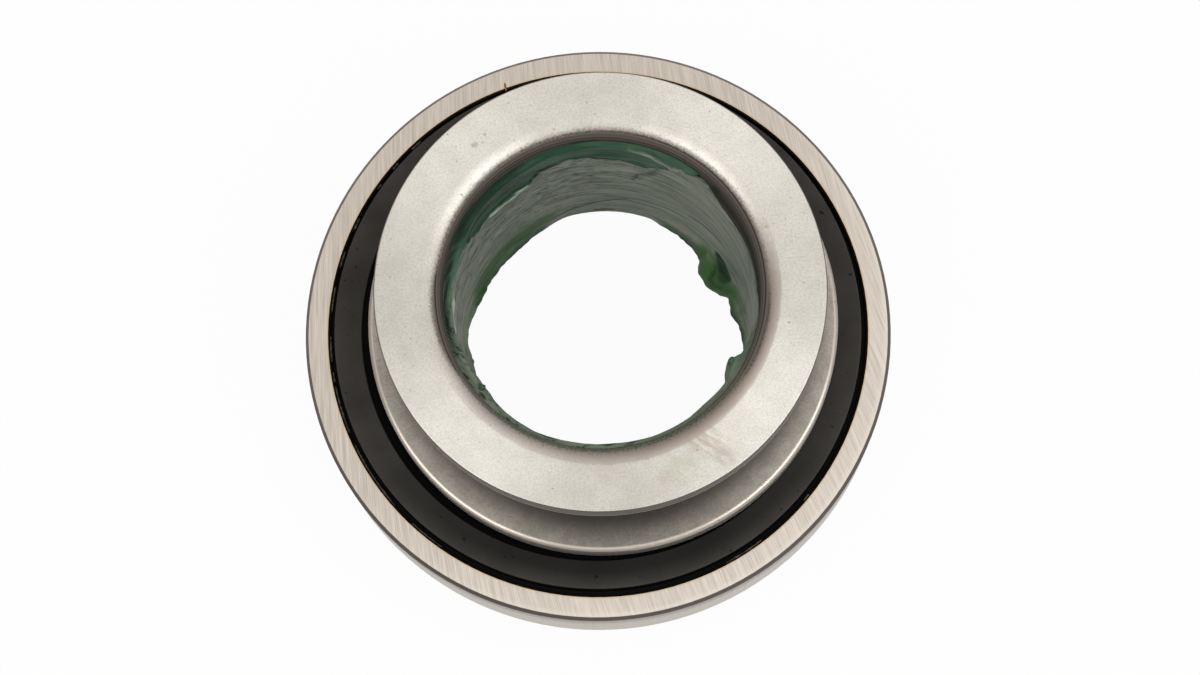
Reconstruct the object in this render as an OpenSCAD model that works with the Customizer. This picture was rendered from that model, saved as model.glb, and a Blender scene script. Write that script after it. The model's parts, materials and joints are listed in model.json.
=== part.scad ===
// Clutch release bearing: a sleeve with a fork groove carries a sealed angular-contact ball bearing.
// The bearing floats sideways on the sleeve, so that it centres itself on the clutch.
// Millimetres. z = 0 is the contact face, +Z runs up to the sleeve's rear flange,
// and x = y = 0 is the axis of the rings.

/* [Sleeve] */
// Bore that slides on the gearbox quill
bore_d = 35; // [32:0.5:42]
// Wall around the bore inside the bearing
spigot_wall = 2.1; // [1.9:0.1:3]
// Wall around the bore inside the fork groove
neck_wall = 3.6; // [3:0.1:5]
// Width of the groove that takes the release fork
groove_w = 11.5; // [8:0.1:16]
// Fillet at the root of the fork groove
groove_root_r = 1.0; // [0.4:0.1:1.4]
// Reach of the rear flange beyond the neck
flange_reach = 3.65; // [2.5:0.05:5]
// Thickness of the rear flange
flange_t = 2.6; // [2.2:0.1:4]
// Rounding of the rear flange's two outer edges
flange_edge = 0.2; // [0.1:0.05:0.5]
// Rounded mouth of the bore in the rear flange
lead_in_r = 2.0; // [0.8:0.1:2]
// Reach of the rim beyond the neck
rim_reach = 5.8; // [5:0.1:7]
// Thickness of the rim
rim_t = 3.3; // [2.4:0.1:5]
// Rounding of the rim's upper edge
rim_edge = 0.5; // [0.2:0.1:1]
// Bevel inside the nose of the sleeve
nose_bevel = 1.1; // [0.3:0.1:1.2]
// Height of the nose above the contact face
nose_z = 1.3; // [0.5:0.1:1.6]
// Depth of the grease recess in the bore
recess_depth = 0.6; // [0.3:0.05:0.8]
// Length of the grease recess
recess_l = 14; // [8:0.5:16]
// Distance from the rear flange's face to the grease recess
recess_top = 8; // [5:0.5:10]
// How far the sleeve stands off the axis of the rings as it lies
sleeve_off = 0.7; // [0:0.05:0.7]

/* [Rings and balls] */
// Diameter of a ball
ball_d = 7.938; // [7:0.001:8.5]
// Number of balls
ball_count = 14; // [10:1:15]
// Radial wall of the inner ring under the balls
inner_wall = 1.8; // [1.5:0.1:3]
// Radial wall of the outer ring around the balls
outer_wall = 3.44; // [2.8:0.02:5]
// Thickness of the outer ring under the balls
front_t = 3.2; // [2.8:0.1:5]
// Rounding of the outer ring's contact edge
contact_edge_r = 5.6; // [1:0.1:6]
// Bevel on the outer ring's outer back edge
back_bevel = 0.4; // [0.2:0.05:0.8]
// Bevel on the edges of the outer ring's two openings
mouth_bevel = 0.2; // [0.1:0.05:0.4]
// Sideways play of the inner ring around the sleeve
float_gap = 1.1; // [1.1:0.05:1.5]

/* [Cage] */
// Thickness of the cage's closed rim above the balls
cage_rim_t = 0.9; // [0.6:0.1:2]
// Radial wall of the cage
cage_wall = 2.6; // [1.6:0.1:3]
// How far the cage's prongs reach past the balls' equator
prong_reach = 1.3; // [0.8:0.1:1.6]

/* [Seals] */
// Depth of the rear seal's seat below the outer ring's back face
seal_depth = 1.6; // [1.4:0.1:2.4]
// How far the rear seal stands out of the outer ring's back face
seal_proud = 1.0; // [0.6:0.1:1.6]
// Step from the ball track out to the rear seal's seat
seat_step = 0.6; // [0.4:0.05:0.8]
// Width of the open channel between the rear seal's face and its seat
channel_w = 0.66; // [0.5:0.02:0.9]
// Width of the rear seal's flat face
seal_face_w = 3.13; // [2.6:0.01:3.6]
// Thickness of the rear seal's foot under the channel
seal_foot_t = 0.72; // [0.6:0.02:1]
// Depth of the hollow under the rear seal's face
seal_hollow = 0.48; // [0.2:0.02:0.56]
// Width of the front seal's body
front_seal_w = 1.4; // [1:0.1:1.6]
// How far the front seal lies behind the contact face
front_seal_z = 1.12; // [0.6:0.02:1.4]

/* [Spring and snap ring] */
// Thickness of the disc spring's sheet
spring_t = 0.4; // [0.3:0.05:0.6]
// Rise of the disc spring's cone
spring_rise = 0.3; // [0.2:0.05:0.5]
// Radial width of the disc spring
spring_w = 2.2; // [1.6:0.05:2.3]
// Thickness of the snap ring
snap_t = 1.0; // [0.8:0.1:1.2]
// Reach of the snap ring beyond the spigot
snap_reach = 2.5; // [2.3:0.1:2.8]
// Depth of the snap ring's groove
snap_depth = 0.8; // [0.6:0.05:1]
// Width of the snap ring's open gap
snap_gap = 7; // [3:0.5:12]
// Land between the nose and the snap ring
snap_land = 1.0; // [1:0.1:1.4]

/* [Output] */
// Which node to draw

/* [Hidden] */
$fn = 96;
// Clearance around each ball in the tracks
track_gap = 0.06;
// Clearance around each ball in the cage
pocket_gap = 0.15;
// Clearance between pieces that slide face to face, and at the seal lips
slide_gap = 0.05;
// Clearance between the cage and the pieces beside it
cage_gap = 0.26;
// Clearance of the rim above the rear seal
rim_gap = 0.3;
// Clearance of the snap ring in its groove
snap_play = 0.03;
// How far the disc spring reaches inside the inner ring's bore
spring_lap = 0.25;
// Thickness of a seal's lip at its tip, and of the front one at its root
lip_t = 0.4;
lip_root_t = 0.6;
// Draft on the outer side of the rear seal's raised face
seal_draft = 0.1;
// Where the lands beside the balls lie from the pitch circle, as shares of the ball's radius
high_share = 0.25;
low_share = 0.75;
front_share = 0.18;
shoulder_share = 0.35;
// Overshoot of cuts past the faces they open
cut = 0.2;

bore_r = bore_d / 2;
ball_r = ball_d / 2;
track_r = ball_r + track_gap;

// Radii, from the bore outwards
spigot_r = bore_r + spigot_wall;
neck_r = bore_r + neck_wall;
flange_r = neck_r + flange_reach;
rim_r = neck_r + rim_reach;
inner_bore_r = spigot_r + float_gap;
pitch_r = inner_bore_r + inner_wall + track_r;
outer_r = pitch_r + track_r + outer_wall;
high_land_r = pitch_r - high_share * ball_r;
low_land_r = pitch_r - low_share * ball_r;
front_bore_r = pitch_r - front_share * ball_r;
shoulder_r = pitch_r + shoulder_share * ball_r;
seat_r = pitch_r + track_r + seat_step;
seal_face_r = seat_r - channel_w;
cage_r = high_land_r + 2 * cage_gap;

// Heights, from the contact face upwards
ball_z = front_t + cage_gap + track_r;
cage_rim_z = ball_z + ball_r + pocket_gap;
seat_z = cage_rim_z + cage_rim_t + cage_gap;
back_z = seat_z + seal_depth;
seal_z = back_z + seal_proud;
rim_z = seal_z + rim_gap;
groove_z = rim_z + rim_t;
flange_z = groove_z + groove_w;
top_z = flange_z + flange_t;
recess_z = top_z - recess_top - recess_l;
snap_z = nose_z + snap_land;
spring_z = snap_z + snap_t + snap_play + slide_gap;
inner_z = spring_z + spring_t + spring_rise + slide_gap;

function two_digits(n) = str(n < 10 ? "0" : "", n);
function ball_name(i) = str("ball_", two_digits(i + 1));

// A rectangle in the half plane of a revolve, from radius r0 to r1 and height z0 to z1
module band(r0, r1, z0, z1) {
    translate([r0, z0])
        square([r1 - r0, z1 - z0]);
}

// What rounds off a corner at the origin with its solid in the +x, +y quadrant, or fills it as a fillet
module round_corner(r) {
    difference() {
        translate([-cut, -cut])
            square(r + cut);
        translate([r, r])
            circle(r);
    }
}

// What bevels a corner at the origin with its solid in the +x, +y quadrant
module bevel_corner(c) {
    polygon([[-cut, -cut], [c + cut, -cut], [-cut, c + cut]]);
}

// Sets a corner tool at a corner, with the solid on the given sides: +1 or -1 in r and z
module at_corner(r, z, side_r, side_z) {
    translate([r, z])
        scale([side_r, side_z])
            children();
}

module sleeve_blank() {
    band(bore_r, spigot_r, nose_z, rim_z + cut);
    band(bore_r, rim_r, rim_z, groove_z);
    band(bore_r, neck_r, groove_z - cut, flange_z + cut);
    band(bore_r, flange_r, flange_z, top_z);
    at_corner(neck_r, groove_z, 1, 1)
        round_corner(groove_root_r);
    at_corner(neck_r, flange_z, 1, -1)
        round_corner(groove_root_r);
}

module sleeve_edges() {
    at_corner(bore_r, top_z, 1, -1)
        round_corner(lead_in_r);
    at_corner(flange_r, top_z, -1, -1)
        round_corner(flange_edge);
    at_corner(flange_r, flange_z, -1, 1)
        round_corner(flange_edge);
    at_corner(rim_r, groove_z, -1, -1)
        round_corner(rim_edge);
    at_corner(rim_r, rim_z, -1, 1)
        bevel_corner(rim_edge / 2);
    at_corner(bore_r, nose_z, 1, 1)
        bevel_corner(nose_bevel);
    at_corner(spigot_r, nose_z, -1, 1)
        bevel_corner(nose_bevel / 3);
}

module sleeve() {
    color([0.80, 0.79, 0.76])
        translate([sleeve_off, 0, 0])
            rotate_extrude()
                difference() {
                    sleeve_blank();
                    sleeve_edges();
                    band(bore_r - cut, bore_r + recess_depth, recess_z, recess_z + recess_l);
                    band(spigot_r - snap_depth, spigot_r + cut, snap_z, snap_z + snap_t + snap_play);
                }
}

module ball_track() {
    translate([pitch_r, ball_z])
        circle(track_r);
}

module outer_ring() {
    color([0.76, 0.71, 0.66])
        rotate_extrude()
            difference() {
                band(front_bore_r, outer_r, 0, back_z);
                ball_track();
                band(front_bore_r - cut, pitch_r + track_r, ball_z, back_z + cut);
                band(front_bore_r - cut, shoulder_r, front_t, ball_z + cut);
                band(front_bore_r - cut, seat_r, seat_z, back_z + cut);
                at_corner(outer_r, 0, -1, 1)
                    round_corner(contact_edge_r);
                at_corner(outer_r, back_z, -1, -1)
                    bevel_corner(back_bevel);
                at_corner(seat_r, back_z, 1, -1)
                    bevel_corner(mouth_bevel);
                at_corner(front_bore_r, 0, 1, 1)
                    bevel_corner(mouth_bevel);
            }
}

module inner_ring() {
    color([0.70, 0.69, 0.67])
        rotate_extrude()
            difference() {
                union() {
                    band(inner_bore_r, low_land_r, inner_z, ball_z);
                    band(inner_bore_r, high_land_r, ball_z, rim_z - slide_gap);
                }
                ball_track();
                at_corner(inner_bore_r, inner_z, 1, 1)
                    bevel_corner(mouth_bevel);
                at_corner(low_land_r, inner_z, -1, 1)
                    bevel_corner(mouth_bevel);
                at_corner(high_land_r, rim_z - slide_gap, -1, -1)
                    bevel_corner(mouth_bevel);
            }
}

module at_ball(i) {
    rotate([0, 0, i * 360 / ball_count])
        translate([pitch_r, 0, ball_z])
            children();
}

module ball(i) {
    color([0.72, 0.72, 0.73])
        at_ball(i)
            sphere(ball_r);
}

// Crown cage: a closed rim over the balls, with prongs that reach past their equator
module cage() {
    color([0.84, 0.79, 0.66])
        difference() {
            rotate_extrude()
                band(cage_r, cage_r + cage_wall, ball_z - prong_reach, cage_rim_z + cage_rim_t);
            for (i = [0 : ball_count - 1])
                at_ball(i)
                    sphere(ball_r + pocket_gap);
        }
}

// Rubber ring with a raised flat face, a channel around it, and a lip that runs on the inner ring
module rear_seal() {
    lip_r = high_land_r + slide_gap;
    face_in_r = seal_face_r - seal_face_w;
    lip_z = back_z + seal_draft;
    floor_z = seat_z + seal_foot_t;
    under_z = seat_z + seal_hollow;
    color([0.20, 0.19, 0.18])
        rotate_extrude()
            difference() {
                polygon([
                    [seat_r, seat_z],
                    [seat_r, floor_z],
                    [seal_face_r + seal_draft, floor_z],
                    [seal_face_r, seal_z],
                    [face_in_r, seal_z],
                    [face_in_r - 2 * seal_draft, seal_z - lip_t],
                    [lip_r, lip_z],
                    [lip_r, lip_z - lip_t],
                    [face_in_r, under_z],
                    [pitch_r + track_r, under_z],
                    [pitch_r + track_r, seat_z],
                ]);
                at_corner(seal_face_r, seal_z, -1, -1)
                    round_corner(mouth_bevel);
            }
}

module front_seal() {
    lip_r = low_land_r + slide_gap;
    lip_z = inner_z + mouth_bevel / 2;
    body_r = front_bore_r - front_seal_w;
    color([0.17, 0.17, 0.17])
        rotate_extrude()
            polygon([
                [front_bore_r, front_seal_z],
                [front_bore_r, front_t],
                [body_r + lip_root_t, front_t],
                [lip_r, lip_z + lip_t],
                [lip_r, lip_z],
                [body_r, front_t - lip_root_t],
                [body_r, front_seal_z],
            ]);
}

// Conical washer that holds the inner ring against the sleeve's rim
module disc_spring() {
    inside_r = inner_bore_r - spring_lap;
    outside_r = inside_r + spring_w;
    color([0.45, 0.46, 0.50])
        rotate_extrude()
            polygon([
                [inside_r, spring_z],
                [outside_r, spring_z + spring_rise],
                [outside_r, spring_z + spring_rise + spring_t],
                [inside_r, spring_z + spring_t],
            ]);
}

module snap_ring() {
    color([0.30, 0.30, 0.32])
        translate([sleeve_off, 0, 0])
            difference() {
                rotate_extrude()
                    band(spigot_r - snap_depth + snap_play, spigot_r + snap_reach, snap_z, snap_z + snap_t);
                translate([0, -snap_gap / 2, snap_z - cut])
                    cube([2 * spigot_r, snap_gap, snap_t + 2 * cut]);
            }
}

// Grease that fills the recess and is wiped level with the bore
module bore_grease() {
    color([0.20, 0.38, 0.27])
        translate([sleeve_off, 0, 0])
            rotate_extrude()
                band(bore_r, bore_r + recess_depth, recess_z, recess_z + recess_l);
}

sleeve();
outer_ring();
inner_ring();
cage();
rear_seal();
front_seal();
disc_spring();
snap_ring();
bore_grease();
for (i = [0 : ball_count - 1])
    ball(i);
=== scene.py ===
"""Clutch release bearing: the finish of every piece, the grease in its bore and the dirt on it.

Metres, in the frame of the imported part: z = 0 is the contact face, +Z runs up to the rear flange.
Lengths that describe the object are written in millimetres and scaled by MM.
"""
import json
import math
from collections import namedtuple

import bmesh
import bpy
import numpy as np
from mathutils import Matrix, Vector, noise


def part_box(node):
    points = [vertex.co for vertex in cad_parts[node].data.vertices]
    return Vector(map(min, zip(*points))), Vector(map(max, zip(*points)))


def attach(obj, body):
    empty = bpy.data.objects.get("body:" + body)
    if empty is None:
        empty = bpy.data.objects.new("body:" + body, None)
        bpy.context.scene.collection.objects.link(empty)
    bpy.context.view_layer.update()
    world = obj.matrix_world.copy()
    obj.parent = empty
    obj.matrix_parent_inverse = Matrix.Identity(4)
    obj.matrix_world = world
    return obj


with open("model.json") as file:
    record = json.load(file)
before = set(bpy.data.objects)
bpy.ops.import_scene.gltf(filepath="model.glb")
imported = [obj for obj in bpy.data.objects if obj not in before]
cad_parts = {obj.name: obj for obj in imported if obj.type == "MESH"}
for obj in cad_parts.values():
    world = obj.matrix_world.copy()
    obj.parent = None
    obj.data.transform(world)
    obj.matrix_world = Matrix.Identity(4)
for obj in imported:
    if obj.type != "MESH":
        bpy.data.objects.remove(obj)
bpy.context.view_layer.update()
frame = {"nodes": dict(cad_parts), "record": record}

MM = 0.001
SEED = 35

# Places on the part, from the frame
bore_mount = next(m for m in frame["record"]["mounts"] if m["name"] == "bore")
SLEEVE_X = bore_mount["pos_m"][0]
BORE_R = bore_mount["dims"]["r_mm"] * MM
BORE_HIGH = bore_mount["pos_m"][2] + bore_mount["dims"]["length_mm"] * MM / 2
FLANGE_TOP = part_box("sleeve")[1].z
LEAD_IN_R = FLANGE_TOP - BORE_HIGH
RIM_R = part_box("sleeve")[1].x - SLEEVE_X
RING_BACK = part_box("outer_ring")[1].z
RING_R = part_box("outer_ring")[1].x
SEAL_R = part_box("rear_seal")[1].x
SEAL_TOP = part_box("rear_seal")[1].z

# The sleeve's steps, which have no box of their own: how far the rim reaches past the flange,
# the flange's thickness, and the width of the fork groove below it
FLANGE_R = RIM_R - 2.15 * MM
FLANGE_LOW = FLANGE_TOP - 2.6 * MM
RIM_TOP = FLANGE_LOW - 11.5 * MM


class Finish:
    """A material, with short calls for the nodes that the finishes share."""

    def __init__(self, name):
        self.material = bpy.data.materials.new(name)
        self.material.use_nodes = True
        self.nodes = self.material.node_tree.nodes
        self.links = self.material.node_tree.links
        self.surface = self.nodes["Principled BSDF"]
        self.place = self.nodes.new("ShaderNodeTexCoord").outputs["Object"]

    def put(self, socket, value):
        """Links a socket's value, or sets a plain one."""
        if isinstance(value, bpy.types.NodeSocket):
            self.links.new(value, socket)
        else:
            socket.default_value = value

    def set(self, **values):
        """Sets sockets of the surface, named in words with underscores for spaces."""
        for name, value in values.items():
            socket = self.surface.inputs[name.replace("_", " ")]
            if isinstance(value, tuple) and len(value) == 3 and socket.type == "RGBA":
                value = (*value, 1)
            self.put(socket, value)

    def math(self, operation, first, second=0.0):
        """A sum, difference or the like of two numbers."""
        node = self.nodes.new("ShaderNodeMath")
        node.operation = operation
        self.put(node.inputs[0], first)
        self.put(node.inputs[1], second)
        return node.outputs[0]

    def product(self, first, *others):
        """The product of several numbers."""
        for other in others:
            first = self.math("MULTIPLY", first, other)
        return first

    def vector(self, operation, first, second=(0, 0, 0)):
        """The like for places, or a place's length."""
        node = self.nodes.new("ShaderNodeVectorMath")
        node.operation = operation
        self.put(node.inputs[0], first)
        self.put(node.inputs[1], second)
        return node.outputs["Value" if operation == "LENGTH" else "Vector"]

    def axis(self, letter):
        """The place along one axis, in metres."""
        node = self.nodes.new("ShaderNodeSeparateXYZ")
        self.put(node.inputs[0], self.place)
        return node.outputs[letter]

    def radius(self, axis_x=0.0, axis_y=0.0):
        """The distance from an upright axis."""
        flat = self.vector("MULTIPLY", self.place, (1, 1, 0))
        return self.vector("LENGTH", self.vector("SUBTRACT", flat, (axis_x, axis_y, 0)))

    def join(self, first, second):
        """A place made of two numbers."""
        node = self.nodes.new("ShaderNodeCombineXYZ")
        self.put(node.inputs[0], first)
        self.put(node.inputs[1], second)
        return node.outputs[0]

    def noise(self, scale, detail=3.0, place=None, roughness=0.5):
        """Noise from 0 to 1, with its features 1 / scale metres wide."""
        node = self.nodes.new("ShaderNodeTexNoise")
        self.put(node.inputs["Vector"], self.place if place is None else place)
        self.put(node.inputs["Scale"], scale)
        self.put(node.inputs["Detail"], detail)
        self.put(node.inputs["Roughness"], roughness)
        return node.outputs[0]

    def step(self, value, low, high):
        """A smooth step from 0 at low to 1 at high, or down where low is the greater."""
        node = self.nodes.new("ShaderNodeMapRange")
        node.interpolation_type = "SMOOTHSTEP"
        swap = low > high
        self.put(node.inputs["Value"], value)
        self.put(node.inputs["From Min"], min(low, high))
        self.put(node.inputs["From Max"], max(low, high))
        self.put(node.inputs["To Min"], 1.0 if swap else 0.0)
        self.put(node.inputs["To Max"], 0.0 if swap else 1.0)
        return node.outputs[0]

    def span(self, value, low, high):
        """A number from low to high, as value runs from 0 to 1."""
        node = self.nodes.new("ShaderNodeMapRange")
        self.put(node.inputs["Value"], value)
        self.put(node.inputs["To Min"], low)
        self.put(node.inputs["To Max"], high)
        return node.outputs[0]

    def mix(self, share, first, second):
        """A colour between two."""
        node = self.nodes.new("ShaderNodeMix")
        node.data_type = "RGBA"
        self.put(node.inputs[0], share)
        for socket, value in ((node.inputs[6], first), (node.inputs[7], second)):
            self.put(socket, (*value, 1) if isinstance(value, tuple) else value)
        return node.outputs[2]

    def spot(self, centre, size):
        """A soft spot: 1 at its centre, 0 beyond its size, both in millimetres."""
        away = self.vector("SUBTRACT", self.place, tuple(c * MM for c in centre))
        scaled = self.vector("MULTIPLY", away, tuple(1 / (s * MM) for s in size))
        return self.step(self.vector("LENGTH", scaled), 1.0, 0.3)

    def attribute(self, name):
        """A number that is stored with a piece's points."""
        node = self.nodes.new("ShaderNodeAttribute")
        node.attribute_name = name
        return node.outputs["Fac"]

    def bump(self, height, distance):
        """Bumps of that distance in millimetres, for heights from 0 to 1."""
        node = self.nodes.new("ShaderNodeBump")
        self.put(node.inputs["Height"], height)
        node.inputs["Distance"].default_value = distance * MM
        node.inputs["Strength"].default_value = 1.0
        self.links.new(node.outputs[0], self.surface.inputs["Normal"])

    def turned_lines(self, amount):
        """Stretches the gloss across fine lines that a lathe leaves around the upright axis."""
        node = self.nodes.new("ShaderNodeTangent")
        node.direction_type = "RADIAL"
        node.axis = "Z"
        self.links.new(node.outputs[0], self.surface.inputs["Tangent"])
        self.set(Anisotropic=amount, Anisotropic_Rotation=0.25)


# Marks on the flange, in millimetres: centre across its face, half sizes, strength and colour
SMEARS = [((9.9, -17.4), (2.7, 2.6, 1.5), 0.70, (0.46, 0.37, 0.30)),
          ((11.3, -18.9), (2.2, 2.0, 1.5), 0.45, (0.50, 0.41, 0.33)),
          ((12.4, -20.0), (1.8, 1.5, 1.5), 0.50, (0.42, 0.41, 0.38)),
          ((7.6, -20.6), (2.4, 2.6, 1.5), 0.50, (0.52, 0.54, 0.40)),
          ((5.7, -21.4), (1.3, 1.2, 1.5), 0.30, (0.54, 0.42, 0.32)),
          ((-11.6, 17.5), (0.55, 0.45, 1), 0.55, (0.12, 0.11, 0.10)),
          ((-10.4, 18.6), (0.25, 0.25, 1), 0.60, (0.12, 0.11, 0.10)),
          ((12.3, 22.0), (0.5, 0.3, 1), 0.70, (0.10, 0.09, 0.08)),
          ((19.3, 5.2), (0.6, 0.5, 1), 0.50, (0.50, 0.36, 0.22))]
# Reach of the mauve stain around the bore's mouth
STAIN_R = 19.55 * MM
# How far the throat of the bore, painted dark as a reflection of the dark bore, lies off the sleeve's axis,
# and where it is wider: centre, half sizes and added reach in millimetres
THROAT_SIDE = (0.15 * MM, -0.07 * MM)
THROAT_WIDER = [((-17.3, -2.0, 32.3), (6, 8, 4), 0.38), ((17.2, -7.0, 32.3), (6, 8, 4), 0.25)]


def smear_lines(f):
    """Noise in lines that run to the right and the near side, as a smear was wiped."""
    along = f.math("SUBTRACT", f.product(f.axis("X"), 0.2), f.product(f.axis("Y"), 0.16))
    across = f.math("ADD", f.product(f.axis("X"), 0.62), f.product(f.axis("Y"), 0.78))
    return f.noise(1900, 4, f.join(across, along), 0.6)


def flange_colour(f, cloud, dark_grain):
    """Pale steel, painted brighter to the right and the far side as painted light, with smears and marks."""
    # Painted light: the flange is brighter towards the right and the far side
    painted_light_right_far = f.step(f.math("ADD", f.axis("X"), f.axis("Y")), -25 * MM, 25 * MM)
    pale = f.mix(painted_light_right_far, (0.80, 0.775, 0.71), (0.865, 0.84, 0.775))
    dull = f.mix(painted_light_right_far, (0.73, 0.705, 0.64), (0.795, 0.77, 0.70))
    colour = f.mix(f.step(cloud, 0.30, 0.70), pale, dull)
    colour = f.mix(f.product(dark_grain, 0.34), colour, (0.46, 0.44, 0.39))
    patchy = f.step(smear_lines(f), 0.28, 0.64)
    for (x, y), size, strength, tint in SMEARS:
        share = f.product(f.spot((x, y, FLANGE_TOP / MM), size), patchy, strength)
        colour = f.mix(share, colour, tint)
    return colour


def rim_colour(f, near, dark_grain):
    """Brown, blotchy steel, darker on the near side as painted shade from the flange."""
    blotch = f.step(f.noise(700, 5), 0.30, 0.70)
    # Painted shade: the near side of the rim is darker than the far side
    far_side = f.mix(blotch, (0.51, 0.46, 0.40), (0.62, 0.565, 0.505))
    near_side = f.mix(blotch, (0.40, 0.375, 0.325), (0.49, 0.455, 0.40))
    return f.mix(f.product(dark_grain, 0.45), f.mix(near, far_side, near_side), (0.27, 0.24, 0.205))


def groove_painted_shade(f, height, radius):
    """Where painted shade darkens the fork groove, between the flange and the rim, fading out over the rim.
    """
    below_flange = f.step(height, FLANGE_LOW + 0.15 * MM, FLANGE_LOW - 0.1 * MM)
    above_rim = f.step(height, RIM_TOP - 0.6 * MM, RIM_TOP - 0.1 * MM)
    return f.product(below_flange, above_rim, f.step(radius, RIM_R - 0.5 * MM, RIM_R - 3.9 * MM))


def mouth_stain(f, throat_radius):
    """How strong the stain around the mouth is: most on the near right side, with a ragged edge."""
    ragged = f.math("ADD", throat_radius, f.span(f.noise(900, 4), -0.15 * MM, 0.15 * MM))
    edge = f.step(ragged, STAIN_R + 0.10 * MM, STAIN_R - 0.10 * MM)
    depth = f.step(ragged, STAIN_R + 0.5 * MM, STAIN_R - 1.0 * MM)
    nearer = f.math("SUBTRACT", f.axis("Y"), f.product(f.axis("X"), 0.35))
    near_side = f.span(f.step(nearer, 2 * MM, -11 * MM), 0.12, 1.0)
    right_side = f.span(f.step(f.axis("X"), -12 * MM, 12 * MM), 0.5, 1.0)
    return f.product(f.math("ADD", edge, depth), 0.5, near_side, right_side)


def throat_place(f, throat_radius, grain):
    """Where the throat is painted dark, from a part of the mouth's rounding inwards."""
    for centre, size, reach in THROAT_WIDER:
        throat_radius = f.math("SUBTRACT", throat_radius, f.product(f.spot(centre, size), reach * MM))
    uneven = f.math("ADD", throat_radius, f.span(grain, -0.25 * MM, 0.25 * MM))
    return f.step(uneven, BORE_R + 0.56 * LEAD_IN_R, BORE_R + 0.22 * LEAD_IN_R)


def throat_colour(f, height, radius, near, grain, cloud):
    """Dark turned lines in the mouth, their darkness partly a painted reflection of the dark bore,
    lighter on the near side as painted light and mottled with grease there, and a greenish wall below.
    """
    across = f.join(radius, f.product(height, 0.35))
    broad = f.noise(2300, 4, across, 0.65)
    fine = f.noise(6000, 3, across)
    turned = f.math("ADD", f.product(broad, 0.5), f.product(fine, 0.5))
    lines = f.step(turned, 0.40, 0.60)
    mouth = f.mix(lines, (0.034, 0.030, 0.026), (0.160, 0.138, 0.120))
    # Painted light: the near side of the mouth is lighter, in a colour mottled like grease
    mottled = f.mix(f.step(grain, 0.35, 0.65), (0.105, 0.118, 0.086), (0.225, 0.225, 0.180))
    mouth = f.mix(f.product(near, 0.8), mouth, mottled)
    wall = f.mix(lines, (0.034, 0.032, 0.027), (0.140, 0.130, 0.114))
    wall = f.mix(f.product(f.step(cloud, 0.48, 0.62), 0.8), wall, (0.030, 0.058, 0.036))
    return f.mix(f.step(height, BORE_HIGH + 0.3 * MM, BORE_HIGH - 0.5 * MM), mouth, wall)


def sleeve_steel():
    """Satin steel: bright on the flange, brown on the rim, stained at the mouth, dark in the bore by painted
    reflection.
    """
    f = Finish("sleeve_steel_finish")
    height = f.axis("Z")
    radius = f.radius(SLEEVE_X)
    grain = f.noise(4200, 3, roughness=0.6)
    dark_grain = f.step(grain, 0.62, 0.32)
    cloud = f.noise(330, 5)
    pits = f.step(f.noise(2300, 1), 0.72, 0.80)
    near = f.step(f.axis("Y"), -4 * MM, -18 * MM)

    # The flange, the rim, and painted shade in the groove between them
    rim = f.step(height, RIM_TOP + 1.4 * MM, RIM_TOP + 0.4 * MM)
    colour = f.mix(rim, flange_colour(f, cloud, dark_grain), rim_colour(f, near, dark_grain))
    # Painted shade: the groove and the rim's inner part under the flange are darkened
    colour = f.mix(f.product(groove_painted_shade(f, height, radius), 0.9), colour, (0.10, 0.09, 0.08))

    # The stain around the mouth, and the throat, painted dark as a reflection of the dark bore
    over_rim = f.step(height, RIM_TOP + 1.4 * MM, RIM_TOP + 2.4 * MM)
    throat_radius = f.radius(SLEEVE_X + THROAT_SIDE[0], THROAT_SIDE[1])
    colour = f.mix(f.product(over_rim, mouth_stain(f, throat_radius)), colour, (0.44, 0.37, 0.325))
    throat = throat_place(f, throat_radius, grain)
    colour = f.mix(throat, colour, throat_colour(f, height, radius, near, grain, cloud))

    # The edges: painted shade on the flange's and the rim's outer edges, a painted highlight on the rim's
    # rounding, and the pits
    # Painted shade: the flange's outer edge is darkened
    flange_edge_shade = f.product(f.step(height, FLANGE_LOW + 0.15 * MM, FLANGE_LOW + 0.35 * MM),
                            f.step(radius, FLANGE_R - 0.16 * MM, FLANGE_R - 0.06 * MM))
    colour = f.mix(f.product(flange_edge_shade, 0.93), colour, (0.085, 0.080, 0.072))
    # Painted highlight on the rim's rounding, which is also made smoother there
    rubbed_and_painted_highlight = f.product(rim, f.step(radius, RIM_R - 0.60 * MM, RIM_R - 0.46 * MM))
    colour = f.mix(f.product(rubbed_and_painted_highlight, 0.8), colour, (0.66, 0.60, 0.53))
    # Painted shade: the rim's outermost edge is darkened
    rim_edge_shade = f.product(rim, f.step(radius, RIM_R - 0.24 * MM, RIM_R - 0.12 * MM))
    colour = f.mix(f.product(rim_edge_shade, 0.7), colour, (0.34, 0.315, 0.295))
    colour = f.mix(f.product(pits, 0.55), colour, (0.14, 0.13, 0.12))

    f.set(Base_Color=colour, Metallic=f.span(throat, 1.0, 0.0), Specular_IOR_Level=0.0)
    rough = f.math("SUBTRACT", f.span(f.noise(1400, 4), 0.38, 0.48), f.product(rim, 0.07))
    f.set(Roughness=f.math("SUBTRACT", rough, f.product(rubbed_and_painted_highlight, 0.06)))
    f.bump(f.math("SUBTRACT", grain, pits), 0.007)
    f.turned_lines(0.85)
    return f.material


# How the grinding marks lie on the ring's back face: they lean by LEAN at the axis,
# more to the right and to the near side, in radians and radians per metre
LEAN = math.radians(6)
LEAN_BY_X = math.radians(280)
LEAN_BY_Y = math.radians(170)


def across_marks(f):
    """The place across the grinding marks, which are lines on which it is constant."""
    x, y = f.axis("X"), f.axis("Y")
    slope = f.math("ADD", f.product(x, LEAN_BY_X), LEAN)
    slope = f.math("SUBTRACT", slope, f.product(y, LEAN_BY_Y / 2))
    return f.math("ADD", x, f.product(y, slope))


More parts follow.
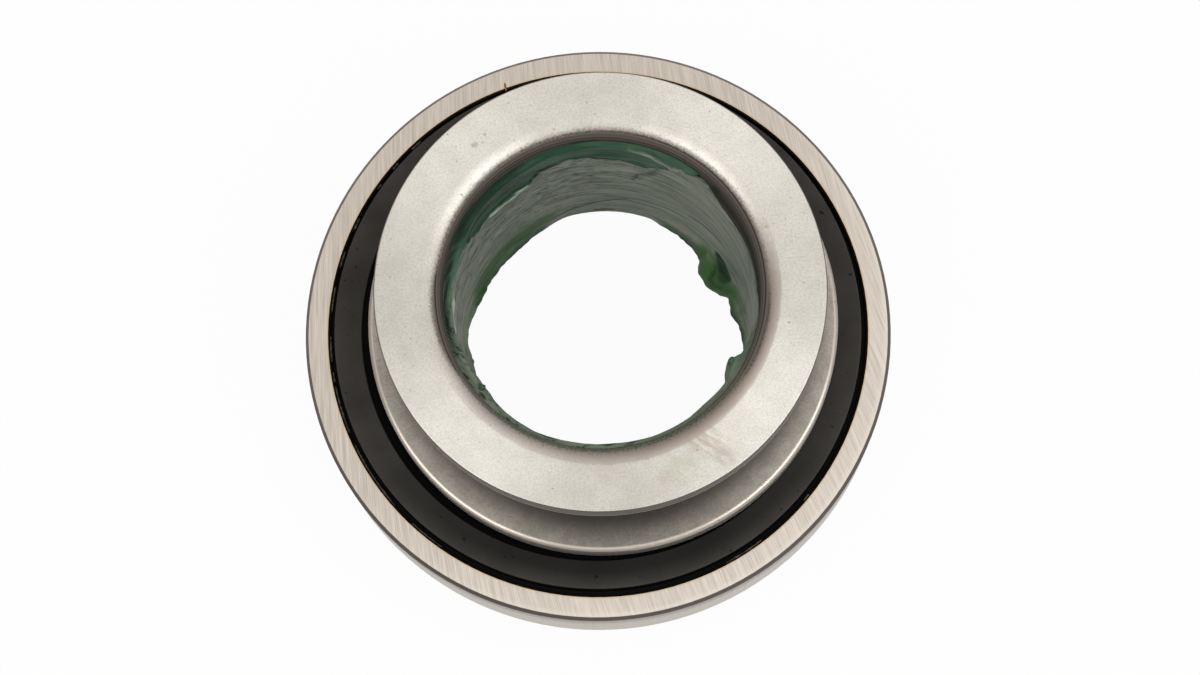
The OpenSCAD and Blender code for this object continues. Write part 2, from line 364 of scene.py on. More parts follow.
def ground_steel():
    """Ground steel: straight hairlines on the back face, turned sides, and dark bevels left unground."""
    f = Finish("ground_steel_finish")
    height = f.axis("Z")
    radius = f.radius()
    line = f.join(across_marks(f), f.product(f.axis("Y"), 0.02))
    fine = f.noise(11000, 2, line)
    broad = f.noise(2600, 3, line)
    marks = f.math("ADD", f.product(fine, 0.6), f.product(broad, 0.4))
    # Painted light: the back face is lighter towards the right and the near side
    painted_light_right_near = f.step(f.math("SUBTRACT", f.axis("X"), f.axis("Y")), -15 * MM, 35 * MM)
    deep = f.mix(painted_light_right_near, (0.51, 0.455, 0.395), (0.565, 0.505, 0.44))
    high = f.mix(painted_light_right_near, (0.715, 0.645, 0.57), (0.79, 0.715, 0.635))
    face = f.mix(f.step(marks, 0.34, 0.66), deep, high)
    # Partly wear and partly painted light: the outer edge is lighter on the right and the near side
    worn_and_painted_light = f.product(f.step(radius, RING_R - 1.1 * MM, RING_R - 0.5 * MM), painted_light_right_near, 0.55)
    face = f.mix(worn_and_painted_light, face, (0.80, 0.745, 0.68))
    turned = f.noise(9000, 2, f.vector("MULTIPLY", f.place, (0.05, 0.05, 1)))
    side = f.mix(turned, (0.42, 0.37, 0.325), (0.55, 0.495, 0.44))
    on_face = f.step(height, RING_BACK - 0.05 * MM, RING_BACK - 0.01 * MM)
    on_bevel = f.product(f.step(height, RING_BACK - 4.5 * MM, RING_BACK - 0.5 * MM),
                         f.step(radius, RING_R - 1.0 * MM, RING_R - 0.6 * MM))
    on_seat = f.step(radius, SEAL_R + 0.2 * MM, SEAL_R + 0.1 * MM)
    colour = f.mix(on_bevel, side, (0.17, 0.145, 0.13))
    colour = f.mix(on_seat, colour, (0.085, 0.055, 0.032))
    colour = f.mix(on_face, colour, face)
    inner_edge = f.product(f.step(radius, SEAL_R + 0.42 * MM, SEAL_R + 0.25 * MM),
                           f.step(height, RING_BACK - 0.22 * MM, RING_BACK - 0.15 * MM))
    colour = f.mix(f.product(inner_edge, 0.7), colour, (0.62, 0.47, 0.29))
    f.set(Base_Color=colour, Metallic=1.0)
    f.set(Roughness=f.span(broad, 0.28, 0.38))
    f.bump(f.product(marks, on_face), 0.005)
    return f.material


def ring_steel():
    """Polished bearing steel with a trace of oil."""
    f = Finish("ring_steel_finish")
    cloud = f.noise(300, 4)
    f.set(Base_Color=f.mix(cloud, (0.56, 0.55, 0.53), (0.66, 0.65, 0.62)), Metallic=1.0)
    f.set(Roughness=f.span(cloud, 0.12, 0.24))
    return f.material


def spring_steel():
    """Dark, oiled spring steel."""
    f = Finish("spring_steel_finish")
    cloud = f.noise(500, 4)
    f.set(Base_Color=f.mix(cloud, (0.12, 0.12, 0.13), (0.24, 0.23, 0.23)), Metallic=1.0)
    f.set(Roughness=f.span(f.noise(1800, 3), 0.3, 0.5))
    f.bump(f.noise(4000, 3), 0.01)
    return f.material


def cage_plastic():
    """Natural polyamide."""
    f = Finish("cage_plastic_finish")
    cloud = f.noise(350, 4)
    f.set(Base_Color=f.mix(cloud, (0.66, 0.58, 0.40), (0.74, 0.67, 0.50)))
    f.set(Roughness=f.span(f.noise(1500, 3), 0.38, 0.52))
    f.bump(f.noise(3000, 3), 0.01)
    return f.material


def seal_rubber():
    """Matte black rubber: dusty on its flat face, with painted shade at its inner edge and below the face.
    """
    f = Finish("seal_rubber_finish")
    cloud = f.noise(180, 5)
    grain = f.noise(2600, 4)
    on_face = f.step(f.axis("Z"), SEAL_TOP - 0.3 * MM, SEAL_TOP - 0.1 * MM)
    dust_and_shade = f.mix(f.step(cloud, 0.3, 0.7), (0.042, 0.0385, 0.0355), (0.057, 0.053, 0.049))
    # Painted shade: darker towards the inner edge, most on the near side
    shaded = f.product(f.step(f.radius(), SEAL_R - 0.2 * MM, SEAL_R - 2.9 * MM),
                       f.span(f.step(f.axis("Y"), -10 * MM, -27 * MM), 0.2, 0.8))
    dust_and_shade = f.mix(shaded, dust_and_shade, (0.006, 0.006, 0.005))
    speck = f.product(f.step(f.noise(1300, 1), 0.70, 0.76), 0.8)
    dust_and_shade = f.mix(speck, dust_and_shade, (0.004, 0.004, 0.004))
    # Painted shade: below its flat face the black rubber is made near-black, for the gaps around the seal
    f.set(Base_Color=f.mix(on_face, (0.002, 0.002, 0.002), dust_and_shade), Specular_IOR_Level=0.08)
    f.set(Roughness=f.span(grain, 0.48, 0.66))
    f.bump(grain, 0.012)
    return f.material


def grease():
    """Green grease: grey where it is wiped thin, with dark brush marks, and deep green where it is thick."""
    f = Finish("grease_finish")
    green = f.attribute("green")
    fresh = f.attribute("fresh")
    tone = f.attribute("tone")
    streaks = f.noise(420, 5, f.vector("MULTIPLY", f.place, (0.30, 0.30, 3.0)))
    brushed = f.noise(1500, 4, f.vector("MULTIPLY", f.place, (0.42, 0.42, 2.3)), 0.65)
    left = f.span(f.step(f.axis("X"), 12 * MM, -4 * MM), 0.25, 1.0)
    upper = f.span(f.step(f.axis("Z"), 7 * MM, 18 * MM), 0.5, 1.0)
    dashes = f.product(f.step(brushed, 0.49, 0.61), left, upper)
    film = f.mix(f.step(streaks, 0.32, 0.68), (0.152, 0.192, 0.139), (0.366, 0.388, 0.320))
    film = f.mix(f.product(dashes, 0.95), film, (0.014, 0.024, 0.014))
    thick = f.mix(f.step(streaks, 0.36, 0.66), (0.022, 0.066, 0.035), (0.060, 0.128, 0.080))
    share = f.step(f.math("ADD", green, f.span(streaks, -0.25, 0.25)), 0.30, 0.70)
    colour = f.mix(share, film, thick)
    colour = f.mix(fresh, colour, f.mix(streaks, (0.050, 0.120, 0.045), (0.115, 0.225, 0.090)))
    # Darker for brush marks and scratches and for painted shadow under ridges, in a hollow and a crease;
    # paler for painted highlights on wet ridges and paler grease
    colour = f.mix(f.step(tone, 0.0, -1.0), colour, (0.006, 0.020, 0.010))
    colour = f.mix(f.step(tone, 0.0, 1.0), colour, (0.48, 0.55, 0.45))
    f.set(Base_Color=colour, Specular_IOR_Level=0.12)
    f.set(Roughness=f.span(streaks, 0.40, 0.58))
    f.bump(f.math("SUBTRACT", streaks, f.product(dashes, 0.3)), 0.025)
    return f.material


def fleck_finish():
    """Dried grease and dust."""
    f = Finish("fleck_finish")
    cloud = f.noise(1800, 3)
    f.set(Base_Color=f.mix(f.step(cloud, 0.35, 0.65), (0.018, 0.016, 0.011), (0.085, 0.082, 0.066)))
    f.set(Roughness=f.span(cloud, 0.5, 0.8))
    f.bump(cloud, 0.03)
    return f.material


def rust_finish():
    """Orange-brown rust."""
    f = Finish("rust_finish")
    cloud = f.noise(2500, 3)
    f.set(Base_Color=f.mix(cloud, (0.16, 0.05, 0.015), (0.42, 0.17, 0.05)))
    f.set(Roughness=f.span(cloud, 0.7, 0.95))
    f.bump(cloud, 0.03)
    return f.material


def dress(finish, *names):
    """Gives a finish to CAD nodes."""
    for name in names:
        node = frame["nodes"][name]
        node.data.materials.clear()
        node.data.materials.append(finish)


balls = [name for name in frame["nodes"] if name.startswith("ball_")]
grease_finish = grease()
dress(sleeve_steel(), "sleeve")
dress(ground_steel(), "outer_ring")
dress(ring_steel(), "inner_ring", *balls)
dress(spring_steel(), "disc_spring", "snap_ring")
dress(cage_plastic(), "cage")
dress(seal_rubber(), "rear_seal", "front_seal")
dress(grease_finish, "bore_grease")


def add_piece(name, points, faces, body, finish):
    """A closed mesh as a piece of the object, smooth and riding on a body."""
    mesh = bpy.data.meshes.new(name)
    mesh.from_pydata([tuple(p) for p in points], [], faces)
    shape = bmesh.new()
    shape.from_mesh(mesh)
    bmesh.ops.recalc_face_normals(shape, faces=shape.faces)
    shape.to_mesh(mesh)
    shape.free()
    mesh.shade_smooth()
    mesh.materials.append(finish)
    piece = bpy.data.objects.new(name, mesh)
    bpy.context.scene.collection.objects.link(piece)
    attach(piece, body)
    return piece


def smooth(value):
    """The smooth step of a value that is cut to 0 to 1."""
    value = np.clip(value, 0, 1)
    return value * value * (3 - 2 * value)


def round_list(angles, points):
    """Values at angles in degrees, from a list of (angle, value) that goes once round."""
    at = np.array([p[0] for p in points], float)
    value = np.array([p[1] for p in points], float)
    return np.interp(angles, at, value, period=360)


def cell_noise(random, turn, up, cells_round, cells_up):
    """Smooth noise from -1 to 1: turn goes from 0 to 1 once round, and up from 0 to 1."""
    table = random.uniform(-1, 1, (cells_up + 2, cells_round))
    across = turn * cells_round
    along = np.clip(up, 0, 1) * cells_up
    column = np.floor(across).astype(int)
    row = np.floor(along).astype(int)
    share_c = smooth(across - column)
    share_r = smooth(along - row)
    left, right = column % cells_round, (column + 1) % cells_round
    low = table[row, left] * (1 - share_c) + table[row, right] * share_c
    high = table[row + 1, left] * (1 - share_c) + table[row + 1, right] * share_c
    return low * (1 - share_r) + high * share_r


# The grease in the bore, by the angle around the sleeve's axis in degrees. Heights and thicknesses are in
# millimetres, and a height past the bore's wall runs on along its mouth.
# The film: its upper edge, how dark that is, and its thickness
FILM_TOP = [(0, 25.5), (7, 26.3), (15, 26.6), (25, 25.9), (34, 26.2), (38, 27.4), (42, 29.4), (47, 30.5),
            (54, 30.6), (70, 30.5), (88, 30.5), (104, 30.3), (114, 30.0), (126, 29.7), (138, 29.6),
            (150, 29.5), (162, 28.9), (172, 28.6), (182, 28.6), (190, 29.6), (200, 31.0), (215, 31.5),
            (240, 31.6), (270, 31.7), (300, 31.6), (322, 31.6), (335, 31.0), (345, 29.0), (353, 27.0)]
SHOULDER_DARK = [(0, 0.5), (45, 0.4), (100, 0.3), (145, 0.5), (155, 0.9), (163, 1.4), (184, 1.4),
                 (195, 0.7), (225, 0.2), (335, 0.3)]
FILM_THICK = [(0, 0.2), (30, 0.22), (60, 0.22), (90, 0.2), (120, 0.28), (150, 0.36), (180, 0.42),
              (215, 0.36), (270, 0.28), (330, 0.26)]
# The thick band under the mouth: its lower edge, what it adds to the film, how green it is,
# and how dark or pale, from -1 to 1
BAND_LOW = [(36, 31.0), (45, 30.0), (50, 29.2), (57, 27.3), (63, 25.9), (71, 24.7), (79, 25.6), (87, 25.8),
            (97, 27.0), (103, 25.8), (109, 26.0), (114, 23.8), (123, 22.9), (132, 23.5), (143, 24.2),
            (149, 26.0), (155, 28.2), (162, 27.6), (178, 26.4), (195, 26.0), (215, 27.0), (240, 28.5),
            (290, 28.5), (325, 28.0), (345, 28.5)]
BAND_THICK = [(0, 0.05), (36, 0.06), (44, 0.25), (50, 0.42), (60, 0.55), (85, 0.5), (105, 0.55), (120, 0.6),
              (140, 0.6), (155, 0.65), (170, 0.6), (185, 0.75), (200, 0.8), (216, 0.75), (226, 0.45),
              (240, 0.2), (255, 0.3), (270, 0.4), (287, 0.2), (300, 0.3), (306, 0.5), (314, 0.42),
              (319, 0.4), (322, 1.0), (325, 1.25), (328, 1.2), (329.5, 0.9), (331, 0.45), (336, 0.35),
              (350, 0.1)]
BAND_GREEN = [(0, 0.0), (36, 0.3), (44, 1.0), (153, 1.0), (161, 0.6), (185, 0.48), (200, 0.45), (240, 0.45),
              (316, 0.45), (322, 0.5), (335, 0.5), (350, 0.2)]
BAND_TONE = [(36, 0.0), (44, -0.25), (50, 0.1), (56, 0.18), (66, 0.18), (74, 0.0), (84, -0.15), (92, 0.0),
             (104, 0.1), (110, 0.08), (114, -0.2), (119, -0.5), (150, -0.42), (156, 0.1), (166, 0.26),
             (176, 0.34), (184, 0.26), (195, 0.0), (230, -0.05), (330, -0.05)]
# What the bead at the film's foot adds to it, and how green the patches in the film are
FOOT_THICK = [(0, 0.8), (5, 1.05), (10, 1.3), (18, 1.45), (20, 1.9), (24, 2.45), (27.5, 2.8), (31.5, 2.85),
              (35, 2.6), (37, 2.15), (38.6, 1.35), (43, 1.1), (46, 0.78), (57, 0.6), (62, 0.35),
              (66, -0.05), (76, -0.2), (100, -0.2), (112, 0.5), (125, 0.85), (145, 0.9), (160, 0.7),
              (166, 0.4), (172, 0.55), (177, 1.0), (182, 1.15), (188, 1.2), (196, 0.9), (215, 0.5),
              (270, 0.4), (340, 0.6)]
PATCH_GREEN = [(0, 0.35), (12, 0.5), (30, 0.3), (60, 0.25), (90, 0.3), (130, 0.4), (165, 0.3), (190, 0.35),
               (230, 0.5), (310, 0.5)]
# A stroke in the grease: a line of (angle, height), its half width, how far it stands out, how green and
# how fresh it makes the grease, and how much paler, or darker where that is below zero
Stroke = namedtuple("Stroke", "line half_width lift green fresh tone", defaults=(0, 0, 0, 0))
STROKES = [
    # Pale streaks along the band's lower edge are painted highlights on its ridge, and dark ones painted
    # shadow under it
    Stroke([(146, 25.4), (143, 24.7), (132, 24.0), (123, 23.4), (114, 24.2)], 0.45, lift=0.08, tone=0.75),
    Stroke([(134, 24.2), (123, 23.5), (116, 23.8)], 0.55, lift=0.05, tone=0.55),
    Stroke([(113, 24.2), (109, 26.3), (102, 26.1), (97, 27.3), (87, 26.1), (78, 26.0)], 0.55,
           lift=-0.05, green=0.6, tone=-1.2),
    Stroke([(78, 26.0), (70.6, 24.9), (63, 26.1), (57, 27.5), (49, 29.4), (44, 30.0)], 0.3,
           lift=-0.05, green=0.2, tone=-0.8),
    Stroke([(74, 29.9), (66, 29.4), (62, 28.6), (57, 28.1), (51, 29.6)], 0.45, lift=0.06, tone=0.35),
    # Brush marks and a scratch in the film
    Stroke([(74, 18.0), (70.5, 20.4), (66, 21.6), (63, 23.6)], 0.9, green=0.15, tone=-0.3),
    Stroke([(73, 17.5), (71, 20), (67, 21.3), (63, 24.2)], 0.3, lift=-0.02, green=0.1, tone=-0.35),
    Stroke([(70.5, 18.2), (67.5, 20.2), (63.5, 22.6)], 0.28, lift=-0.02, green=0.1, tone=-0.3),
    Stroke([(49, 12.0), (42.6, 12.9), (40, 12.7), (31, 13.3)], 0.22, lift=-0.08, tone=-0.6),
    # Green on the right, and fresh grease along the foot
    Stroke([(22, 10.5), (15, 12.5), (10, 15.6)], 1.6, green=0.45),
    Stroke([(8.5, 13), (9, 6), (9, 2)], 0.9, lift=0.05, green=0.45, tone=-0.1),
    Stroke([(150, 4.4), (139, 5.2), (130, 5.5), (123, 5.4), (109, 5.8)], 1.7,
           lift=0.1, fresh=0.85, tone=-0.35),
    # Pale streaks on the left, painted highlights on wet ridges, and a green line
    Stroke([(162, 27.6), (167, 27.0), (173, 27.0), (181, 27.6), (187, 27.4)], 0.4, lift=0.06, tone=0.8),
    Stroke([(178, 18), (171, 23), (165, 26)], 0.25, lift=0.1, tone=0.4),
    Stroke([(106, 4.6), (96, 6.2), (88, 7.3), (76, 9.2)], 0.35, lift=0.05, green=0.7, tone=-0.3),
    # The left wall: a fresh foot and a paler film
    Stroke([(192, 3.2), (176, 3.4), (160, 3.8)], 1.8, fresh=0.5, tone=0.3),
    Stroke([(197, 22), (182, 17), (172, 9)], 6.0, tone=0.16),
    # The big lump: its fresh green, painted shadow in a hollow above it, and painted shade in a crease
    Stroke([(19, 3.6), (24, 4.2), (31, 4.5), (37, 3.9)], 2.3, green=0.5, fresh=1.0),
    Stroke([(32, 7.1), (28, 6.3), (24.2, 5.9)], 1.0, lift=-0.05, green=0.9, tone=-0.6),
    Stroke([(30.5, 5.4), (28, 4.6), (25, 4.2), (22.5, 4.4)], 0.5, lift=-0.2, tone=-0.45),
]
# Where the film ends below, the height of its foot, and how deep its back lies in the metal
FILM_LOW = 2.0
FOOT_HIGH = 3.2
FILM_SUNK = 0.25
# Length over which the film thins out at its two edges
FILM_FADE = 0.7
# Softness of the band's lower edge, and the ridge along it: its height over the edge and its half width
BAND_SOFT = 0.5
RIDGE_HIGH = 0.45
RIDGE_WIDTH = 0.5
# Thickness past which the foot swells to a lump, and how much thicker it is where it is all lump
FOOT_SWELLS = 1.3
FOOT_SWELL_RANGE = 1.2
# Cells of each noise around the bore and up it, in the order in which they are drawn
FILM_CELLS = {"wander": (50, 3), "ragged": (160, 4), "brushed": (26, 80), "fine": (90, 150),
              "lumps": (80, 26), "patches": (14, 7)}
TATTER_CELLS = (210, 20)
# Steps of the film's mesh around the bore, up its wall and along its mouth, and how far it reaches there
ROUND_STEPS = 480
WALL_STEPS = 132
MOUTH_STEPS = 12
MOUTH_REACH = math.radians(60)


def bore_point(turn, height, lift):
    """Points at a lift off the bore's wall, or off its rounded mouth above it; arrays, in millimetres."""
    wall_top, mouth_r, bore_r = BORE_HIGH / MM, LEAD_IN_R / MM, BORE_R / MM
    bend = np.maximum(height - wall_top, 0) / mouth_r
    radius = bore_r + mouth_r - (mouth_r + lift) * np.cos(bend)
    z = np.minimum(height, wall_top) + (mouth_r + lift) * np.sin(bend)
    angle = 2 * math.pi * turn
    return np.stack([SLEEVE_X / MM + radius * np.cos(angle), radius * np.sin(angle), z], -1) * MM


def near_line(angle, height, line):
    """The distance in millimetres from a line that is drawn on the bore's wall."""
    step = math.radians(1) * BORE_R / MM
    least = np.full(angle.shape, np.inf)
    for (angle_a, height_a), (angle_b, height_b) in zip(line, line[1:]):
        across = (angle_b - angle_a) * step
        along = height_b - height_a
        from_a = ((angle - angle_a + 180) % 360 - 180) * step
        share = np.clip((from_a * across + (height - height_a) * along) / (across ** 2 + along ** 2), 0, 1)
        least = np.minimum(least, np.hypot(from_a - share * across, height - height_a - share * along))
    return least


def film_noises(turn, height):
    """The noises that make the grease uneven, each from -1 to 1."""
    up = (height - FILM_LOW) / (BORE_HIGH / MM - FILM_LOW)
    random = np.random.RandomState(SEED)
    noises = {name: cell_noise(random, turn, up, *cells) for name, cells in FILM_CELLS.items()}
    noises["tatter"] = cell_noise(np.random.RandomState(SEED + 1), turn, up, *TATTER_CELLS)
    return noises


def band_thickness(angle, over_edge, above, uneven):
    """What the band adds to the film, with a ridge along the band's lower edge."""
    ridge = np.exp(-((over_edge - RIDGE_HIGH) / RIDGE_WIDTH) ** 2)
    flat = above * (0.75 + 0.06 * uneven["lumps"] + 0.10 * uneven["brushed"])
    return round_list(angle, BAND_THICK) * (flat + 0.40 * ridge * (1 + 0.25 * uneven["lumps"]))


def foot_thickness(foot, height, uneven):
    """What the foot adds to the film: a bead, which swells to a lump where it is thickest."""
    swollen = smooth((foot - FOOT_SWELLS) / FOOT_SWELL_RANGE)
    half_height = 1.3 + 1.1 * swollen
    shape = np.exp(-np.abs((height - FOOT_HIGH) / half_height) ** (2 + 0.5 * swollen))
    bumps = (1 - 0.4 * swollen) * (0.16 * uneven["lumps"] + 0.12 * uneven["tatter"])
    return (foot + np.clip(foot, 0, FOOT_SWELLS) * bumps) * shape


def shoulder(fade):
    """A hump that is 1 a third of the way up the slope of the film's upper edge, and 0 at its two ends."""
    return 27 / 4 * fade * (1 - fade) ** 2


def film_fields(turn, height):
    """The grease's thickness, below zero where the metal is bare, and its looks: green, fresh and tone."""
    angle = turn * 360
    uneven = film_noises(turn, height)
    wander = 0.18 * uneven["wander"] + 0.08 * uneven["ragged"]
    over_edge = height - round_list(angle, BAND_LOW) - wander
    above = smooth(over_edge / BAND_SOFT + 0.5)
    foot = round_list(angle, FOOT_THICK)
    film = round_list(angle, FILM_THICK) * (1 + 0.12 * uneven["brushed"]) + 0.02 * uneven["fine"]
    film = film + band_thickness(angle, over_edge, above, uneven) + foot_thickness(foot, height, uneven)

    # Its looks, and what the strokes change
    foot_green = smooth(foot / 0.6) * np.exp(-((height - FILM_LOW) / 2.4) ** 2)
    patch_green = round_list(angle, PATCH_GREEN) * smooth(0.5 + 1.2 * uneven["patches"])
    green = np.maximum(np.maximum(above * round_list(angle, BAND_GREEN), foot_green), patch_green)
    fresh = np.zeros(turn.shape)
    tone = above * round_list(angle, BAND_TONE)
    stroke_angle = angle + 4 * uneven["brushed"] / BORE_R * MM
    stroke_height = height + 0.15 * uneven["lumps"]
    for stroke in STROKES:
        share = smooth(1.3 - near_line(stroke_angle, stroke_height, stroke.line) / stroke.half_width)
        film = film + stroke.lift * share
        green = np.maximum(green, stroke.green * share)
        fresh = np.maximum(fresh, stroke.fresh * share)
        tone = tone + stroke.tone * share * (1 + 0.4 * uneven["fine"])

    # Where it ends above and below
    top_fade = smooth((round_list(angle, FILM_TOP) + 0.5 * wander - height) / FILM_FADE)
    low_fade = smooth((height - FILM_LOW) / FILM_FADE + 0.1 * uneven["lumps"])
    tone = tone - round_list(angle, SHOULDER_DARK) * shoulder(top_fade)
    thickness = (film + FILM_SUNK / 2) * top_fade * low_fade - FILM_SUNK / 2
    return thickness, {"green": green, "fresh": fresh, "tone": tone}


def store(piece, name, values):
    """Keeps a number for each point of a piece, for its finish to read."""
    stored = piece.data.attributes.new(name, "FLOAT", "POINT")
    stored.data.foreach_set("value", np.asarray(values, np.float32))


def grease_film():
    """A closed shell on the bore's wall: its free face follows the thickness, its back lies in the metal."""
    wall = np.linspace(FILM_LOW, BORE_HIGH / MM, WALL_STEPS)
    mouth = BORE_HIGH / MM + np.linspace(0, MOUTH_REACH, MOUTH_STEPS + 1)[1:] * LEAD_IN_R / MM
    heights = np.concatenate([wall, mouth])
    turns = np.arange(ROUND_STEPS) / ROUND_STEPS
    turn, height = np.meshgrid(turns, heights)
    thickness, looks = film_fields(turn, height)
    back_heights = np.concatenate([mouth[::-1], wall[[-1, 0]]])
    back_turn, back_height = np.meshgrid(turns, back_heights)
    back = bore_point(back_turn, back_height, np.full_like(back_height, -FILM_SUNK))
    points = np.concatenate([bore_point(turn, height, thickness), back])
    rows = len(points)
    faces = []
    for row in range(rows):
        above = (row + 1) % rows
        for column in range(ROUND_STEPS):
            beside = (column + 1) % ROUND_STEPS
            faces.append((row * ROUND_STEPS + column, row * ROUND_STEPS + beside,
                          above * ROUND_STEPS + beside, above * ROUND_STEPS + column))
    piece = add_piece("grease_film", points.reshape(-1, 3), faces, "sleeve", grease_finish)
    for name, values in looks.items():
        store(piece, name, np.concatenate([values.ravel(), np.zeros(back_turn.size)]))


grease_film()


def ball_mesh(detail):
    """The points of a ball of radius 1, and its faces."""
    shape = bmesh.new()
    bmesh.ops.create_icosphere(shape, subdivisions=detail, radius=1)
    points = [vertex.co.copy() for vertex in shape.verts]
    faces = [tuple(vertex.index for vertex in face.verts) for face in shape.faces]
    shape.free()
    return points, faces


# Lumps of grease: angle, height, distance of the centre from the sleeve's axis, half sizes across,
# along the bore and towards its axis, and how green they are
LUMPS = [(326.5, 30.2, 16.3, (0.55, 0.6, 0.45), 0.8), (214.5, 31.0, 16.7, (0.35, 0.4, 0.4), 1.0)]
LUMP_DETAIL = 4
# Bumps on a lump: how many to a radius, and how high
LUMP_BUMPS = [(1.1, 0.22), (3.5, 0.06)]


def grease_lump(index, angle, height, distance, half_sizes, green):
    """One lump: a ball pressed to its half sizes and made uneven by noise of its own."""
    ball, faces = ball_mesh(LUMP_DETAIL)
    turn = Matrix.Rotation(math.radians(angle), 3, "Z")
    across, along, inward = half_sizes
    centre = Vector((distance, 0, height))
    sleeve_axis = Vector((SLEEVE_X / MM, 0, 0))
    noise_start = Vector((7 * index, 3 * index, 0))
    points = []
    for point in ball:
        way = point.normalized()
        uneven = 1 + sum(rise * noise.noise(way * often + noise_start) for often, rise in LUMP_BUMPS)
        local = Vector((way.x * inward, way.y * across, way.z * along)) * uneven
        points.append((turn @ (local + centre) + sleeve_axis) * MM)
    piece = add_piece(f"grease_lump_{index + 1}", points, faces, "sleeve", grease_finish)
    store(piece, "green", np.full(len(points), green))


for lump_index, lump in enumerate(LUMPS):
    grease_lump(lump_index, *lump)

# Dried grease in the channel around the rear seal: arcs in degrees around the rings' axis
FLECK_ARCS = [(127, 130), (134, 136), (140, 141.5), (149, 152), (157, 161), (165, 171), (176, 182),
              (184, 186.5), (187, 198), (200.4, 216.6), (221.7, 230), (292.8, 302), (314, 316)]
# A fleck's half width in millimetres, how much taller it is, and where its middle runs
FLECK_R = 0.13
FLECK_TALL = 1.5
FLECK_MIDDLE = SEAL_R / MM - 0.6 * FLECK_R
FLECK_Z = RING_BACK / MM - 0.42
# How uneven a fleck is: waves to a radian and their height, as a share of its size and in millimetres
FLECK_SWELL = (60, 0.7)
FLECK_WAVE = (25, 0.12)
FLECK_SIDES = 8
FLECK_STEP_DEGREES = 0.5
FLECK_LEAST_STEPS = 6


def fleck_points(start, end, steps):
    """Rings of points along an arc, uneven, and smaller at its ends."""
    swell_often, swell = FLECK_SWELL
    wave_often, wave = FLECK_WAVE
    points = []
    for i in range(steps + 1):
        share = i / steps
        angle = math.radians(start + (end - start) * share)
        taper = math.sqrt(max(1 - (2 * share - 1) ** 8, 0.02))
        r = FLECK_R * taper * (1 + swell * noise.noise(Vector((angle * swell_often, start, 0))))
        lift = wave * noise.noise(Vector((angle * wave_often, 5, start)))
        for k in range(FLECK_SIDES):
            turn = 2 * math.pi * k / FLECK_SIDES
            reach = FLECK_MIDDLE + r * math.cos(turn)
            z = FLECK_Z + lift + FLECK_TALL * r * math.sin(turn)
            points.append(Vector((reach * math.cos(angle), reach * math.sin(angle), z)) * MM)
    return points


def fleck_faces(first, steps):
    """The sides and both ends of a fleck whose points start at a number."""
    faces = []
    for i in range(steps):
        low = first + i * FLECK_SIDES
        high = low + FLECK_SIDES
        for k in range(FLECK_SIDES):
            beside = (k + 1) % FLECK_SIDES
            faces.append((low + k, low + beside, high + beside, high + k))
    for end in (first, first + steps * FLECK_SIDES):
        faces.append(tuple(end + k for k in range(FLECK_SIDES)))
    return faces


def channel_flecks(finish):
    """Uneven beads that lie against the ring's wall in the channel, each a closed tube along its arc."""
    points, faces = [], []
    for start, end in FLECK_ARCS:
        steps = max(FLECK_LEAST_STEPS, int((end - start) / FLECK_STEP_DEGREES))
        faces += fleck_faces(len(points), steps)
        points += fleck_points(start, end, steps)
    add_piece("channel_flecks", points, faces, "outer_ring", finish)


channel_flecks(fleck_finish())

# A flake of rust on the ring's back face, from its inner edge outwards: place and half sizes
RUST_PLACE = (-8.23, 30.4, RING_BACK / MM + 0.02)
RUST_SIZE = (0.13, 0.5, 0.06)
RUST_LEAN = math.radians(8)
RUST_DETAIL = 3
# Bumps on the flake: how many to a half size, and how high
RUST_BUMPS = (1.7, 0.4)


def rust_flake(finish):
    """A thin, uneven flake."""
    ball, faces = ball_mesh(RUST_DETAIL)
    turn = Matrix.Rotation(RUST_LEAN, 3, "Z")
    often, rise = RUST_BUMPS
    points = []
    for point in ball:
        uneven = 1 + rise * noise.noise(point * often)
        local = Vector(c * s for c, s in zip(point, RUST_SIZE)) * uneven
        points.append((turn @ local + Vector(RUST_PLACE)) * MM)
    add_piece("rust_flake", points, faces, "outer_ring", finish)


rust_flake(rust_finish())

# The camera, above the near side and rolled a little: lens, sensor width, distance, how far it aims beside
# the rings' axis, and the nearest thing it sees, in millimetres
CAMERA_LENS = 75
CAMERA_SENSOR = 36
CAMERA_ELEVATION = math.radians(76.63)
CAMERA_ROLL = math.radians(5.33)
CAMERA_DISTANCE = 290.2
CAMERA_SIDE = (0.19, -1.12)
CAMERA_CLIP = 10


def photo_camera():
    """The camera at the photograph's viewing angle, aimed at the height of the ring's back face."""
    back = Vector((0, -math.cos(CAMERA_ELEVATION), math.sin(CAMERA_ELEVATION)))
    right = Vector((1, 0, 0))
    up = back.cross(right)
    aim = Vector((0, 0, RING_BACK / MM)) + CAMERA_SIDE[0] * right + CAMERA_SIDE[1] * up
    data = bpy.data.cameras.new("photo_camera")
    data.sensor_width = CAMERA_SENSOR
    data.lens = CAMERA_LENS
    data.clip_start = CAMERA_CLIP * MM
    camera = bpy.data.objects.new("photo_camera", data)
    bpy.context.scene.collection.objects.link(camera)
    image_right = math.cos(CAMERA_ROLL) * right - math.sin(CAMERA_ROLL) * up
    image_up = math.sin(CAMERA_ROLL) * right + math.cos(CAMERA_ROLL) * up
    turn = Matrix((image_right, image_up, back)).transposed().to_4x4()
    camera.matrix_world = Matrix.Translation((aim + CAMERA_DISTANCE * back) * MM) @ turn
    bpy.context.scene.camera = camera


photo_camera()

FLOOR_SIZE = 6.0
# How much of the floor's white is its own light, seen by the camera and seen in the metal
FLOOR_GLOW = 0.95
FLOOR_GLOW_IN_METAL = 0.5


